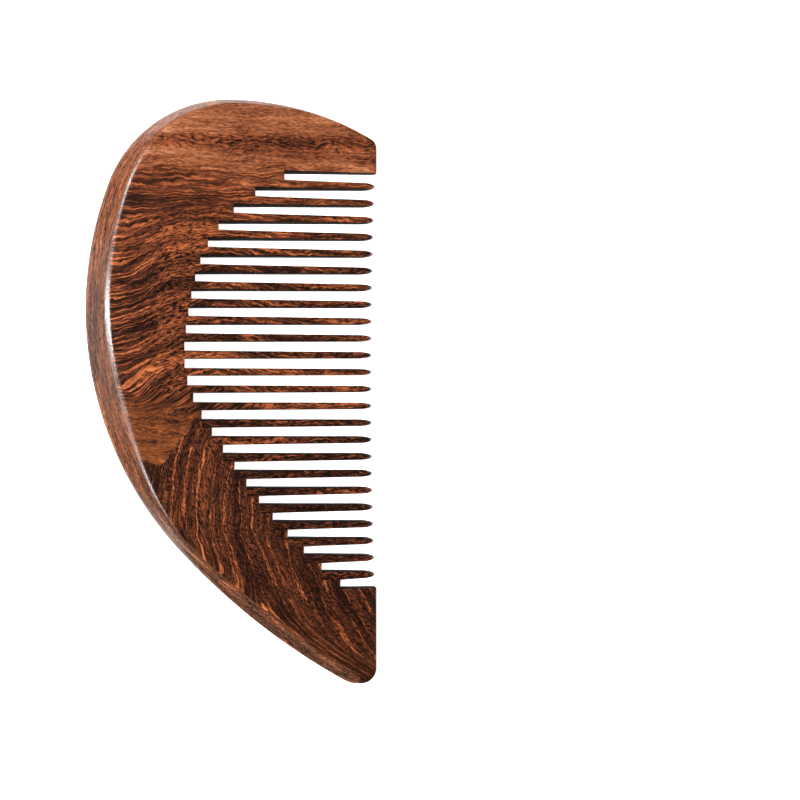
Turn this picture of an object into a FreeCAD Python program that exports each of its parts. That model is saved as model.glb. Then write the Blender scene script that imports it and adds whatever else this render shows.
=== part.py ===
"""Wooden beard comb with a half-heart outline and inserted teeth.

The comb lies flat on its lower face.  +Y runs along the back from the pointed end to the round crown,
+X runs from the back to the tooth tips and +Z is up.  The origin is under the middle of the comb, on the
surface that it lies on.  All sizes are millimetres.

Every piece is drawn in the plane half way between the two flat faces.  The faces form a wedge that is
thickest at the back, so each piece is turned by half the wedge angle to bring the lower face down flat.
"""

import FreeCAD, Part

import math
import os

import Sketcher
from FreeCAD import Placement, Rotation, Vector

TOOTH_COUNT = 24

# Slots, counted from 1 at the top, that the curve of the slot roots is given at.
STATIONS = (1, 3, 5, 9, 13, 17, 21, 25)

# How far a cutting outline runs past the wood that it cuts.
OVERRUN = 2.0

# Driving dimensions: alias, value, what it is.
DIMENSIONS = (
    ("comb_length", 110.0, "from the crown to the pointed end"),
    ("comb_width", 54.4, "from the belly of the back to the guard edge"),
    ("back_thickness", 10.5, "wedge thickness over the belly edge"),
    ("tip_thickness", 3.0, "wedge thickness at the guard edge"),
    ("rim_height", 3.2, "upright part of the outer edge"),
    ("rim_break_rise", 0.6, "height of the broken edge between the rim and a bevel"),
    ("rim_break_run", 0.35, "width of the broken edge"),
    ("bevel_run", 4.6, "width of a bevel and the broken edge where the back has its full thickness"),
    ("crown_offset", 27.3, "from the highest point of the crown to the guard edge"),
    ("shoulder_radius", 54.5, "arc from the crown to the upper guard"),
    ("crown_radius", 24.4, "arc over the crown"),
    ("belly_drop", 39.4, "from the crown down to the widest point"),
    ("belly_turn", 42.0, "angle from the widest point to the end of the belly, in degrees"),
    ("flank_turn", 18.0, "angle that the flank turns between belly and toe, in degrees"),
    ("toe_radius", 5.6, "arc round the pointed end"),
    ("toe_offset", 3.4, "from the middle of the toe arc to the guard edge"),
    ("upper_corner_radius", 2.0, "corner of the upper guard"),
    ("lower_corner_radius", 2.8, "corner of the lower guard"),
    ("tooth_pitch", 3.206, "from one tooth to the next"),
    ("tooth_width", 1.456, "width of a tooth at the root"),
    ("tooth_taper", 0.22, "how much narrower a tooth is where its nose starts"),
    ("row_top", 14.1, "from the crown down to the middle of the first slot"),
    ("reach_01", 17.7, "from the guard edge to the end of the first slot"),
    ("reach_03", 27.2, "the same at the third slot"),
    ("reach_05", 32.0, "fifth slot"),
    ("reach_09", 35.6, "ninth slot"),
    ("reach_13", 35.8, "thirteenth slot"),
    ("reach_17", 29.2, "seventeenth slot"),
    ("reach_21", 19.9, "twenty-first slot"),
    ("reach_25", 7.0, "last slot"),
    ("tip_setback", 0.1, "from the guard edge to the tips of the end teeth"),
    ("tip_hollow", 0.7, "how far the middle tips stand behind the end tips"),
    ("nose_length", 2.6, "length of the rounded nose"),
    ("root_land", 0.6, "parallel part of a tooth past the slot roots beside it"),
    ("tenon_length", 3.0, "how deep a tenon sits in the back"),
    ("tenon_shoulder", 0.28, "step from a side of the tooth to its tenon"),
    ("tenon_height", 2.4, "size of a tenon through the thickness"),
    ("glue_gap", 0.05, "clearance round a tenon"),
)


class Comb:
    """Sizes shared by the pieces, worked out from the driving dimensions."""

    def __init__(self, doc):
        """Write the sheet, then add the sizes that follow from it."""
        self.sheet = doc.addObject("Spreadsheet::Sheet", "dimensions")
        self.rows = 0
        for alias, value, note in DIMENSIONS:
            self.add_row(alias, value, note)
        self.add_row("slope", "=(back_thickness - tip_thickness) / 2 / comb_width", "rise of a face along X")
        doc.recompute()
        for name, radius in zip(("upper_belly", "lower_belly", "flank"), self.belly_radii()):
            self.add_row(f"{name}_radius", radius, "follows from tangency with the arcs beside it")
        arch = self.slot_root_curve()
        for slot in range(TOOTH_COUNT + 1):
            root = arch.value(self.slot_middle(slot)).x
            self.add_row(root_cell(slot), root, "X of the end of a slot")
        doc.recompute()

    def add_row(self, alias, value, note):
        """Add one value to the sheet."""
        self.rows += 1
        self.sheet.set(f"A{self.rows}", alias)
        self.sheet.set(f"B{self.rows}", str(value))
        self.sheet.set(f"C{self.rows}", note)
        self.sheet.setAlias(f"B{self.rows}", alias)

    def belly_radii(self):
        """Radii of the upper belly, the lower belly and the flank, from tangency at their ends.

        The upper belly is upright at the widest point and touches the crown arc.  The lower belly starts
        upright there too, and after its turn the flank leads on to the toe arc: its chord runs square to
        the outward direction half way along it.
        """
        sheet = self.sheet
        span, rise = sheet.comb_width - sheet.crown_offset, sheet.belly_drop - sheet.crown_radius
        upper = (span**2 + rise**2 - sheet.crown_radius**2) / 2 / (span - sheet.crown_radius)
        across = sheet.comb_width - sheet.toe_offset
        down = sheet.comb_length - sheet.belly_drop - sheet.toe_radius
        middle = math.radians(sheet.belly_turn + sheet.flank_turn / 2)
        half_turn = math.radians(sheet.flank_turn / 2)
        lean, drop = math.cos(middle), math.sin(middle)
        straighten = math.cos(half_turn)
        lower = (down * drop - across * lean + sheet.toe_radius * straighten) / (straighten - lean)
        chord = (across - lower) * drop + down * lean
        flank = (chord / math.sin(half_turn) + sheet.toe_radius + lower) / 2
        return upper, lower, flank

    def slot_middle(self, slot):
        """Y of the middle of a slot, counted from 0 at the top; halves give the teeth."""
        return self.sheet.comb_length / 2 - self.sheet.row_top - slot * self.sheet.tooth_pitch

    def slot_root_curve(self):
        """Curve through the slot roots, its parameter equal to Y."""
        half_width = self.sheet.comb_width / 2
        heights = [self.slot_middle(station - 1) for station in reversed(STATIONS)]
        reaches = [self.sheet.get(f"reach_{station:02d}") for station in reversed(STATIONS)]
        points = [Vector(half_width - reach, y, 0) for reach, y in zip(reaches, heights)]
        curve = Part.BSplineCurve()
        curve.interpolate(Points=points, Parameters=heights)
        return curve

    def root(self, slot):
        """X of the end of a slot."""
        return self.sheet.get(root_cell(slot))

    def half_thickness(self, x):
        """Half of the thickness between the flat faces at x."""
        return self.sheet.back_thickness / 2 - self.sheet.slope * (x + self.sheet.comb_width / 2)

    def resting_placement(self):
        """Lay the lower face on the ground, with the middle of the comb over the origin."""
        half_angle = math.atan(self.sheet.slope)
        lift = self.half_thickness(0) * math.cos(half_angle)
        shift = (self.sheet.rim_height - self.sheet.tip_thickness) / 4 * math.sin(half_angle)
        turn = Rotation(Vector(0, 1, 0), math.degrees(half_angle))
        return Placement(Vector(shift, 0, lift), turn)


def root_cell(slot):
    """Name of the cell that holds the end of a slot."""
    return f"slot_root_{slot + 1:02d}"


def slot_y(slot, side=0):
    """Expression for Y of a slot's middle, or of its upper (1) or lower (-1) edge."""
    middle = f"dimensions.comb_length / 2 - dimensions.row_top - {slot} * dimensions.tooth_pitch"
    return f"{middle} + {side} * (dimensions.tooth_pitch - dimensions.tooth_width) / 2"


def tip_x(tooth):
    """Expression for X of a tooth's tip; the row of tips is slightly hollow."""
    share = (2 * tooth + 1) / TOOTH_COUNT - 1
    hollow = f"{1 - share**2:.4f} * dimensions.tip_hollow"
    return f"dimensions.comb_width / 2 - dimensions.tip_setback - {hollow}"


def face_z(x):
    """Expression for Z of the upper flat face at an X given as an expression."""
    return f"dimensions.back_thickness / 2 - dimensions.slope * ({x} + dimensions.comb_width / 2)"


def new_sketch(body, name, role, height=None):
    """Add a sketch on one of the body's own origin planes, raised by an expression."""
    sketch = body.newObject("Sketcher::SketchObject", name)
    plane = next(plane for plane in body.Origin.OriginFeatures if plane.Role == role)
    sketch.AttachmentSupport = [(plane, "")]
    sketch.MapMode = "FlatFace"
    if height:
        sketch.setExpression("AttachmentOffset.Base.z", height)
    return sketch


def bind(sketch, kind, *target, to):
    """Add a dimension to a sketch and bind it to an expression."""
    value = sketch.evalExpression(to)
    index = sketch.addConstraint(Sketcher.Constraint(kind, *target, value))
    sketch.setExpression(f"Constraints[{index}]", to)


def pin(sketch, edge, end, x, y):
    """Hold a point of an edge at a place given as two expressions."""
    bind(sketch, "DistanceX", edge, end, to=x)
    bind(sketch, "DistanceY", edge, end, to=y)


def draw_path(sketch, corners):
    """Draw straight edges through corners given as expressions, and return the first and last edge."""
    places = [Vector(sketch.evalExpression(x), sketch.evalExpression(y), 0) for x, y in corners]
    first = sketch.addGeometry(Part.LineSegment(places[0], places[1]), False)
    last = first
    for start, end in zip(places[1:], places[2:]):
        edge = sketch.addGeometry(Part.LineSegment(start, end), False)
        sketch.addConstraint(Sketcher.Constraint("Coincident", last, 2, edge, 1))
        last = edge
    for edge, (x, y) in enumerate(corners[:-1], start=first):
        pin(sketch, edge, 1, x, y)
    return first, last


def draw_polygon(sketch, corners):
    """Draw a closed outline of straight edges through corners given as expressions."""
    first, last = draw_path(sketch, corners + corners[:1])
    sketch.addConstraint(Sketcher.Constraint("Coincident", last, 2, first, 1))


def draw_rectangle(sketch, left, right, half_height, middle="0"):
    """Draw a rectangle that is even about a middle line."""
    low, high = f"{middle} - ({half_height})", f"{middle} + ({half_height})"
    draw_polygon(sketch, [(left, low), (right, low), (right, high), (left, high)])


def pad(body, name, sketch, length):
    """Extrude a sketch to both sides by half of a length given as an expression."""
    feature = body.newObject("PartDesign::Pad", name)
    feature.Profile = sketch
    feature.SideType = "Symmetric"
    feature.setExpression("Length", length)
    return feature


def pocket(body, name, sketch, length=None):
    """Cut a sketch out to both sides, right through or by a length given as an expression."""
    feature = body.newObject("PartDesign::Pocket", name)
    feature.Profile = sketch
    feature.SideType = "Symmetric"
    if length:
        feature.setExpression("Length", length)
    else:
        feature.Type = "ThroughAll"
    return feature


def outline_arcs(sheet, inset):
    """Arcs of the comb's outline drawn in by an inset, anticlockwise: name, centre, radius, angles.

    The arcs run from the upper guard corner over shoulder, crown, belly and flank to the toe and the
    lower guard corner.  Each is tangent to its neighbours.
    """
    edge, top = sheet.comb_width / 2, sheet.comb_length / 2
    crown = Vector(edge - sheet.crown_offset, top - sheet.crown_radius)
    shoulder = Vector(crown.x, top - sheet.shoulder_radius)
    widest = top - sheet.belly_drop
    upper = Vector(sheet.upper_belly_radius - edge, widest)
    lower = Vector(sheet.lower_belly_radius - edge, widest)
    toe = Vector(edge - sheet.toe_offset, sheet.toe_radius - top)
    leave = math.pi + math.radians(sheet.belly_turn)
    meet_toe = leave + math.radians(sheet.flank_turn)
    flank = lower - Vector(math.cos(leave), math.sin(leave)) * (sheet.flank_radius - sheet.lower_belly_radius)
    low = Vector(edge - sheet.lower_corner_radius, inset - top + sheet.lower_corner_radius)
    high = Vector(edge - sheet.upper_corner_radius, 0)
    span = sheet.shoulder_radius - inset - sheet.upper_corner_radius
    high.y = shoulder.y + math.sqrt(span**2 - (high.x - shoulder.x) ** 2)
    meet_shoulder = math.atan2(high.y - shoulder.y, high.x - shoulder.x)
    meet_crown = math.pi + math.atan2(upper.y - crown.y, upper.x - crown.x)
    return (
        ("upper_corner", high, sheet.upper_corner_radius, 0, meet_shoulder),
        ("shoulder", shoulder, sheet.shoulder_radius - inset, meet_shoulder, math.pi / 2),
        ("crown", crown, sheet.crown_radius - inset, math.pi / 2, meet_crown),
        ("upper_belly", upper, sheet.upper_belly_radius - inset, meet_crown, math.pi),
        ("lower_belly", lower, sheet.lower_belly_radius - inset, math.pi, leave),
        ("flank", flank, sheet.flank_radius - inset, leave, meet_toe),
        ("toe", toe, sheet.toe_radius - inset, meet_toe, 1.5 * math.pi),
        ("lower_corner", low, sheet.lower_corner_radius, 1.5 * math.pi, 2 * math.pi),
    )


def draw_outline(sketch, sheet, inset):
    """Draw the comb's outline, drawn in by an inset given as an expression."""
    up = Vector(0, 0, 1)
    edge = {}
    ends = []
    for name, centre, radius, start, end in outline_arcs(sheet, sketch.evalExpression(inset)):
        arc = Part.ArcOfCircle(Part.Circle(centre, up, radius), start, end)
        if name == "lower_corner":
            edge["bottom"] = sketch.addGeometry(Part.LineSegment(ends[-1], arc.StartPoint), False)
        edge[name] = sketch.addGeometry(arc, False)
        ends += [arc.StartPoint, arc.EndPoint]
    edge["guard_edge"] = sketch.addGeometry(Part.LineSegment(ends[-1], ends[0]), False)

    order = list(edge.values())
    for index, following in zip(order, order[1:] + order[:1]):
        sketch.addConstraint(Sketcher.Constraint("Tangent", index, 2, following, 1))
    sketch.addConstraint(Sketcher.Constraint("Vertical", edge["guard_edge"]))
    sketch.addConstraint(Sketcher.Constraint("Horizontal", edge["bottom"]))
    for name in ("upper_corner", "lower_corner"):
        bind(sketch, "Radius", edge[name], to=f"dimensions.{name}_radius")
    for name in ("shoulder", "crown", "upper_belly", "lower_belly", "flank", "toe"):
        bind(sketch, "Radius", edge[name], to=f"dimensions.{name}_radius - {inset}")
    crown_x = "dimensions.comb_width / 2 - dimensions.crown_offset"
    crown_y = "dimensions.comb_length / 2 - dimensions.crown_radius"
    toe_x = "dimensions.comb_width / 2 - dimensions.toe_offset"
    toe_y = "dimensions.toe_radius - dimensions.comb_length / 2"
    pin(sketch, edge["crown"], 3, crown_x, crown_y)
    pin(sketch, edge["toe"], 3, toe_x, toe_y)
    bind(sketch, "DistanceX", edge["shoulder"], 3, to=crown_x)
    widest_x = f"{inset} - dimensions.comb_width / 2"
    pin(sketch, edge["upper_belly"], 2, widest_x, "dimensions.comb_length / 2 - dimensions.belly_drop")
    bind(sketch, "DistanceX", edge["guard_edge"], 1, to="dimensions.comb_width / 2")


def stairs(comb):
    """Corners of the open space between the guards: a staircase that follows the slot roots."""
    outside = f"dimensions.comb_width / 2 + {OVERRUN}"
    roots = [f"dimensions.{root_cell(slot)}" for slot in range(TOOTH_COUNT + 1)]
    corners = [(outside, slot_y(0, 1)), (roots[0], slot_y(0, 1))]
    for slot in range(TOOTH_COUNT):
        deepens = comb.root(slot + 1) < comb.root(slot)
        riser = slot_y(slot, -1) if deepens else slot_y(slot + 1, 1)
        corners += [(roots[slot], riser), (roots[slot + 1], riser)]
    corners += [(roots[-1], slot_y(TOOTH_COUNT, -1)), (outside, slot_y(TOOTH_COUNT, -1))]
    return corners


def seat_x(comb, tooth):
    """Expression for X of the shoulder that a tooth stands on: the deeper of its two slot roots."""
    deeper = min((tooth, tooth + 1), key=comb.root)
    return f"dimensions.{root_cell(deeper)}"


def make_back(doc, comb):
    """Spine board with both guards: bevelled loft, wedge faces, staircase and mortises."""
    body = doc.addObject("PartDesign::Body", "comb_back")
    levels = (
        ("ridge", "dimensions.back_thickness / 2", "dimensions.bevel_run"),
        ("break", "(dimensions.rim_height / 2 + dimensions.rim_break_rise)", "dimensions.rim_break_run"),
        ("rim", "dimensions.rim_height / 2", "0"),
    )
    lower = [(f"lower_{name}", f"-{height}", inset) for name, height, inset in levels]
    upper = [(f"upper_{name}", height, inset) for name, height, inset in reversed(levels)]
    sections = []
    for name, height, inset in lower + upper:
        section = new_sketch(body, name, "XY_Plane", height)
        draw_outline(section, comb.sheet, inset)
        sections.append(section)
    blank = body.newObject("PartDesign::AdditiveLoft", "blank")
    blank.Profile = sections[0]
    blank.Sections = sections[1:]
    blank.Ruled = True

    wedge = new_sketch(body, "wedge", "XZ_Plane")
    left, right = f"-dimensions.comb_width / 2 - {OVERRUN}", f"dimensions.comb_width / 2 + {OVERRUN}"
    top = f"dimensions.back_thickness / 2 + {OVERRUN}"
    for side in ("", "-"):
        corners = [(left, face_z(left)), (right, face_z(right)), (right, top), (left, top)]
        draw_polygon(wedge, [(x, f"{side}({z})") for x, z in corners])
    pocket(body, "flat_faces", wedge)

    comb_space = new_sketch(body, "comb_space", "XY_Plane")
    draw_polygon(comb_space, stairs(comb))
    pocket(body, "slots", comb_space)

    mortises = new_sketch(body, "mortises", "XY_Plane")
    for tooth in range(TOOTH_COUNT):
        seat = seat_x(comb, tooth)
        floor = f"{seat} - dimensions.tenon_length - dimensions.glue_gap"
        half = "dimensions.tooth_width / 2 - dimensions.tenon_shoulder + dimensions.glue_gap"
        draw_rectangle(mortises, floor, f"{seat} + {OVERRUN}", half, slot_y(tooth + 0.5))
    height = "dimensions.tenon_height + 2 * dimensions.glue_gap"
    pocket(body, "tenon_holes", mortises, height)
    body.Placement = comb.resting_placement()
    return body


def draw_bullet(sketch, length, corners):
    """Draw half an outline through its corners, its mirror image and the elliptical nose between them."""
    nose = f"{length} - dimensions.nose_length"
    lower = [(x, f"-({y})") for x, y in corners]
    path = list(reversed(corners)) + lower
    first, last = draw_path(sketch, path)
    tip = sketch.evalExpression(length)
    centre = Vector(sketch.evalExpression(nose), 0, 0)
    side = Vector(centre.x, sketch.evalExpression(corners[-1][1]), 0)
    ellipse = Part.Ellipse(Vector(tip, 0, 0), side, centre)
    arc = sketch.addGeometry(Part.ArcOfEllipse(ellipse, -math.pi / 2, math.pi / 2), False)
    sketch.exposeInternalGeometry(arc)
    pin(sketch, last, 2, *path[-1])
    sketch.addConstraint(Sketcher.Constraint("Coincident", arc, 1, last, 2))
    sketch.addConstraint(Sketcher.Constraint("Coincident", arc, 2, first, 1))
    pin(sketch, arc + 1, 1, length, "0")


def make_tooth(doc, comb, tooth):
    """One tooth with its tenon, drawn from the middle of its shoulder and set in its place."""
    body = doc.addObject("PartDesign::Body", f"tooth_{tooth + 1:02d}")
    seat = seat_x(comb, tooth)
    length = f"({tip_x(tooth)} - {seat})"
    nose = f"{length} - dimensions.nose_length"
    step = abs(comb.root(tooth + 1) - comb.root(tooth))

    side = new_sketch(body, "side_view", "XZ_Plane")
    draw_bullet(side, length, [("0", face_z(seat)), (nose, face_z(f"{seat} + {nose}"))])
    pad(body, "blade", side, "dimensions.tooth_width")

    plan = new_sketch(body, "plan_view", "XY_Plane")
    land = f"{step:.4f} + dimensions.root_land"
    half_root = "dimensions.tooth_width / 2"
    half_tip = f"{half_root} - dimensions.tooth_taper / 2"
    draw_bullet(plan, length, [("0", half_root), (land, half_root), (nose, half_tip)])
    draw_rectangle(plan, f"-{OVERRUN}", f"{length} + {OVERRUN}", f"{half_root} + {OVERRUN}")
    pocket(body, "taper", plan)

    tongue = new_sketch(body, "tongue", "XY_Plane")
    half_tenon = f"{half_root} - dimensions.tenon_shoulder"
    draw_rectangle(tongue, "-dimensions.tenon_length", "dimensions.root_land", half_tenon)
    pad(body, "tenon", tongue, "dimensions.tenon_height")

    place = Vector(body.evalExpression(seat), comb.slot_middle(tooth + 0.5), 0)
    body.Placement = comb.resting_placement() * Placement(place, Rotation())
    return body


def check(doc, pieces):
    """Stop if any object failed or any piece isn't one valid solid."""
    for item in doc.Objects:
        if "Invalid" in item.State or "Error" in item.State:
            raise RuntimeError(f"{item.Label} failed: {item.State}")
    for piece in pieces:
        shape = piece.Shape
        if shape.isNull() or not shape.isValid() or len(shape.Solids) != 1:
            raise RuntimeError(f"{piece.Label} is not one valid solid")


def main():
    """Build the comb and write one file for each piece."""
    doc = FreeCAD.newDocument("beard_comb")
    comb = Comb(doc)
    pieces = [make_back(doc, comb)]
    pieces += [make_tooth(doc, comb, tooth) for tooth in range(TOOTH_COUNT)]
    doc.recompute()
    check(doc, pieces)
    os.makedirs("parts", exist_ok=True)
    for piece in pieces:
        piece.Shape.exportStep(f"parts/{piece.Label}.step")
        print(f"{piece.Label}: {piece.Shape.Volume:.1f} mm3")


main()
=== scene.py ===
"""Looks of a wooden beard comb: spine board with two guards, and a row of inserted teeth.

Every shape is worked out in the comb plane, which lies half way between the two flat faces: X runs from
the back to the tooth tips, Y from the pointed end to the crown and Z through the thickness, all in
millimetres.  The resting plane then lays the comb down on its lower face, in metres.
"""

import logging
import math
from dataclasses import dataclass, field
from enum import Enum

import bpy
import numpy as np
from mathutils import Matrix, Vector


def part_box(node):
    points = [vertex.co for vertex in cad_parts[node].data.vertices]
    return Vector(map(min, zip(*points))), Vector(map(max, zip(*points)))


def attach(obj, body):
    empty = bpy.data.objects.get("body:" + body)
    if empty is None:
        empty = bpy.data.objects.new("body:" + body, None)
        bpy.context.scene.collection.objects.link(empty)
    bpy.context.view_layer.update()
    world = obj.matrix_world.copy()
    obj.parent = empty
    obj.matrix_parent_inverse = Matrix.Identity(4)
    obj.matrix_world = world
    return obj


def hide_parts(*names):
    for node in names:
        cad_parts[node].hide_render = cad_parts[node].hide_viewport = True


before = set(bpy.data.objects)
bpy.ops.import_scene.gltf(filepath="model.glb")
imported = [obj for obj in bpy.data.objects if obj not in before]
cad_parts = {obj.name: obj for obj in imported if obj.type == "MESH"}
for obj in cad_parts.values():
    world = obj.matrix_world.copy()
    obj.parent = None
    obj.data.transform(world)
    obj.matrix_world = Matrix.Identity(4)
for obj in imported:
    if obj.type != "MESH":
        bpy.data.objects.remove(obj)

LOG = logging.getLogger("beard_comb")
MILLIMETRE = 0.001
WELD = 0.00000025
Triple = tuple[float, float, float]


class Slot(Enum):
    """Names of the materials of the back and of the teeth."""

    BACK = "back_wood"
    TEETH = "tooth_wood"


@dataclass(frozen=True)
class CombSizes:
    """Driving sizes of the comb, in millimetres and degrees."""

    length: float = 110.0
    width: float = 54.4
    back_thickness: float = 10.5
    tip_thickness: float = 3.0
    rim_height: float = 3.2
    crown_offset: float = 27.3
    shoulder_radius: float = 54.5
    crown_radius: float = 24.4
    belly_drop: float = 39.4
    belly_turn: float = 42.0
    flank_turn: float = 18.0
    toe_radius: float = 5.6
    toe_offset: float = 3.4
    upper_corner: float = 2.0
    lower_corner: float = 2.8
    tooth_count: int = 24
    tooth_pitch: float = 3.206
    tooth_width: float = 1.456
    row_top: float = 14.1

    @property
    def edge(self) -> float:
        """X of the guard edge."""
        return self.width / 2

    @property
    def top(self) -> float:
        """Y of the crown."""
        return self.length / 2

    @property
    def slope(self) -> float:
        """Fall of a flat face along X."""
        return (self.back_thickness - self.tip_thickness) / 2 / self.width

    @property
    def slot_width(self) -> float:
        """Width of a slot at its root."""
        return self.tooth_pitch - self.tooth_width

    def face(self, x: np.ndarray) -> np.ndarray:
        """Height of the upper flat face over the comb plane."""
        return self.back_thickness / 2 - self.slope * (x + self.edge)

    def slot_middle(self, slot: float) -> float:
        """Y of the middle of a slot, counted from 0 at the top; halves give the teeth."""
        return self.top - self.row_top - slot * self.tooth_pitch


@dataclass(frozen=True)
class RestingPlane:
    """Where the comb plane lies in the world, once the comb rests on its lower face."""

    lean: float
    shift: float
    lift: float

    @classmethod
    def under(cls, sizes: CombSizes) -> "RestingPlane":
        """Rest a comb of these sizes on the ground, with its middle over the origin.

        Args:
            sizes: The comb's sizes.

        Returns:
            The plane.
        """
        lean = math.atan(sizes.slope)
        shift = (sizes.rim_height - sizes.tip_thickness) / 4 * math.sin(lean)
        plane = cls(lean, shift, float(sizes.face(np.zeros(1))[0]) * math.cos(lean))
        low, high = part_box("comb_back")
        span = (high - low) / MILLIMETRE
        LOG.info("packed back spans %.2f mm by %.2f mm", span.x, span.y)
        return plane

    def to_world(self, places: np.ndarray) -> np.ndarray:
        """Turn by the lean about Y, lift, and change millimetres to metres.

        Args:
            places: Comb-plane places, last axis X, Y, Z.

        Returns:
            World places in metres, of the same shape.
        """
        x, y, z = places[..., 0], places[..., 1], places[..., 2]
        c, s = math.cos(self.lean), math.sin(self.lean)
        world = np.stack([x * c + z * s + self.shift, y, z * c - x * s + self.lift], axis=-1)
        return world * MILLIMETRE


@dataclass
class Patchwork:
    """Grids of points that are welded into one closed mesh.

    Every point carries the same named vectors, which the wood reads as mesh attributes.
    """

    names: tuple[str, ...]
    points: list[np.ndarray] = field(default_factory=list)
    faces: list[np.ndarray] = field(default_factory=list)
    sawn: list[np.ndarray] = field(default_factory=list)
    vectors: list[np.ndarray] = field(default_factory=list)
    count: int = 0

    def add_grid(
        self,
        places: np.ndarray,
        vectors: np.ndarray,
        sawn: bool | np.ndarray = False,
        keep: np.ndarray | None = None,
    ) -> None:
        """Add a batch of grids, each cell a quad.

        Cell (i, j) joins the points (i, j), (i + 1, j), (i + 1, j + 1) and (i, j + 1).

        Args:
            places: Points, shaped (batch, rows, columns, 3).
            vectors: Vectors, shaped (batch, rows, columns, names, 3).
            sawn: Cells that are sawn walls rather than polished faces.
            keep: Cells to keep, shaped (rows - 1, columns - 1); all of them if missing.
        """
        batch, rows, columns = places.shape[:3]
        index = np.arange(batch * rows * columns).reshape(batch, rows, columns) + self.count
        near, far = index[:, :-1], index[:, 1:]
        quads = np.stack([near[..., :-1], far[..., :-1], far[..., 1:], near[..., 1:]], axis=-1)
        rough = np.broadcast_to(np.asarray(sawn), quads.shape[:3])
        if keep is not None:
            quads, rough = quads[:, keep], rough[:, keep]
        self.points.append(places.reshape(-1, 3))
        self.vectors.append(vectors.reshape(-1, len(self.names), 3))
        self.faces.append(quads.reshape(-1, 4))
        self.sawn.append(rough.reshape(-1))
        self.count += batch * rows * columns

    def build(self, name: str, crease: float) -> bpy.types.Object:
        """Weld the grids and make the finished object.

        Args:
            name: Name of the object.
            crease: Angle in degrees past which an edge is shown sharp.

        Returns:
            The object, at the origin and unturned.
        """
        points = np.concatenate(self.points)
        vectors = np.concatenate(self.vectors)
        faces = np.concatenate(self.faces)
        _, first, inverse = np.unique(
            np.round(points / WELD).astype(np.int64), axis=0, return_index=True, return_inverse=True
        )
        faces = inverse.reshape(-1)[faces]
        whole = self._has_area(faces)
        faces, sawn = faces[whole], np.concatenate(self.sawn)[whole]
        loops, sizes = self._without_repeats(faces)
        mesh = bpy.data.meshes.new(name)
        mesh.vertices.add(len(first))
        mesh.vertices.foreach_set("co", points[first].astype(np.float32).ravel())
        mesh.loops.add(len(loops))
        mesh.loops.foreach_set("vertex_index", loops)
        mesh.polygons.add(len(sizes))
        mesh.polygons.foreach_set("loop_start", np.concatenate([[0], np.cumsum(sizes)[:-1]]))
        mesh.update(calc_edges=True)
        for number, label in enumerate(self.names):
            attribute = mesh.attributes.new(label, "FLOAT_VECTOR", "POINT")
            attribute.data.foreach_set("vector", vectors[first, number].astype(np.float32).ravel())
        mesh.polygons.foreach_set("material_index", sawn.astype(np.int32))
        mesh.validate()
        mesh.polygons.foreach_set("use_smooth", np.ones(len(mesh.polygons), bool))
        mesh.set_sharp_from_angle(angle=math.radians(crease))
        piece = bpy.data.objects.new(name, mesh)
        bpy.context.scene.collection.objects.link(piece)
        return piece

    @staticmethod
    def _has_area(faces: np.ndarray) -> np.ndarray:
        """Find the quads that have at least three different corners."""
        ordered = np.sort(faces, axis=1)
        return (np.diff(ordered, axis=1) > 0).sum(axis=1) >= 2

    @staticmethod
    def _without_repeats(faces: np.ndarray) -> tuple[np.ndarray, np.ndarray]:
        """Corners one after the other, less those that a quad repeats, and each face's number of them."""
        differs = faces != np.roll(faces, -1, axis=1)
        return faces[differs].astype(np.int32), differs.sum(axis=1).astype(np.int32)


@dataclass(frozen=True)
class Arc:
    """One arc of the outline, run anticlockwise; angles in radians."""

    x: float
    y: float
    radius: float
    start: float
    end: float


class Trace:
    """Line of points in the comb plane, with the path length up to each."""

    points: np.ndarray
    path: np.ndarray

    def measure(self, points: np.ndarray) -> None:
        """Keep the points and add up the steps between them."""
        self.points = points
        self.path = np.concatenate([[0.0], np.cumsum(np.hypot(*np.diff(points, axis=0).T))])

    def nearest(self, place: tuple[float, float]) -> float:
        """Path length of the point next to a place."""
        return float(self.path[np.argmin(np.hypot(*(self.points - np.array(place)).T))])


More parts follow.
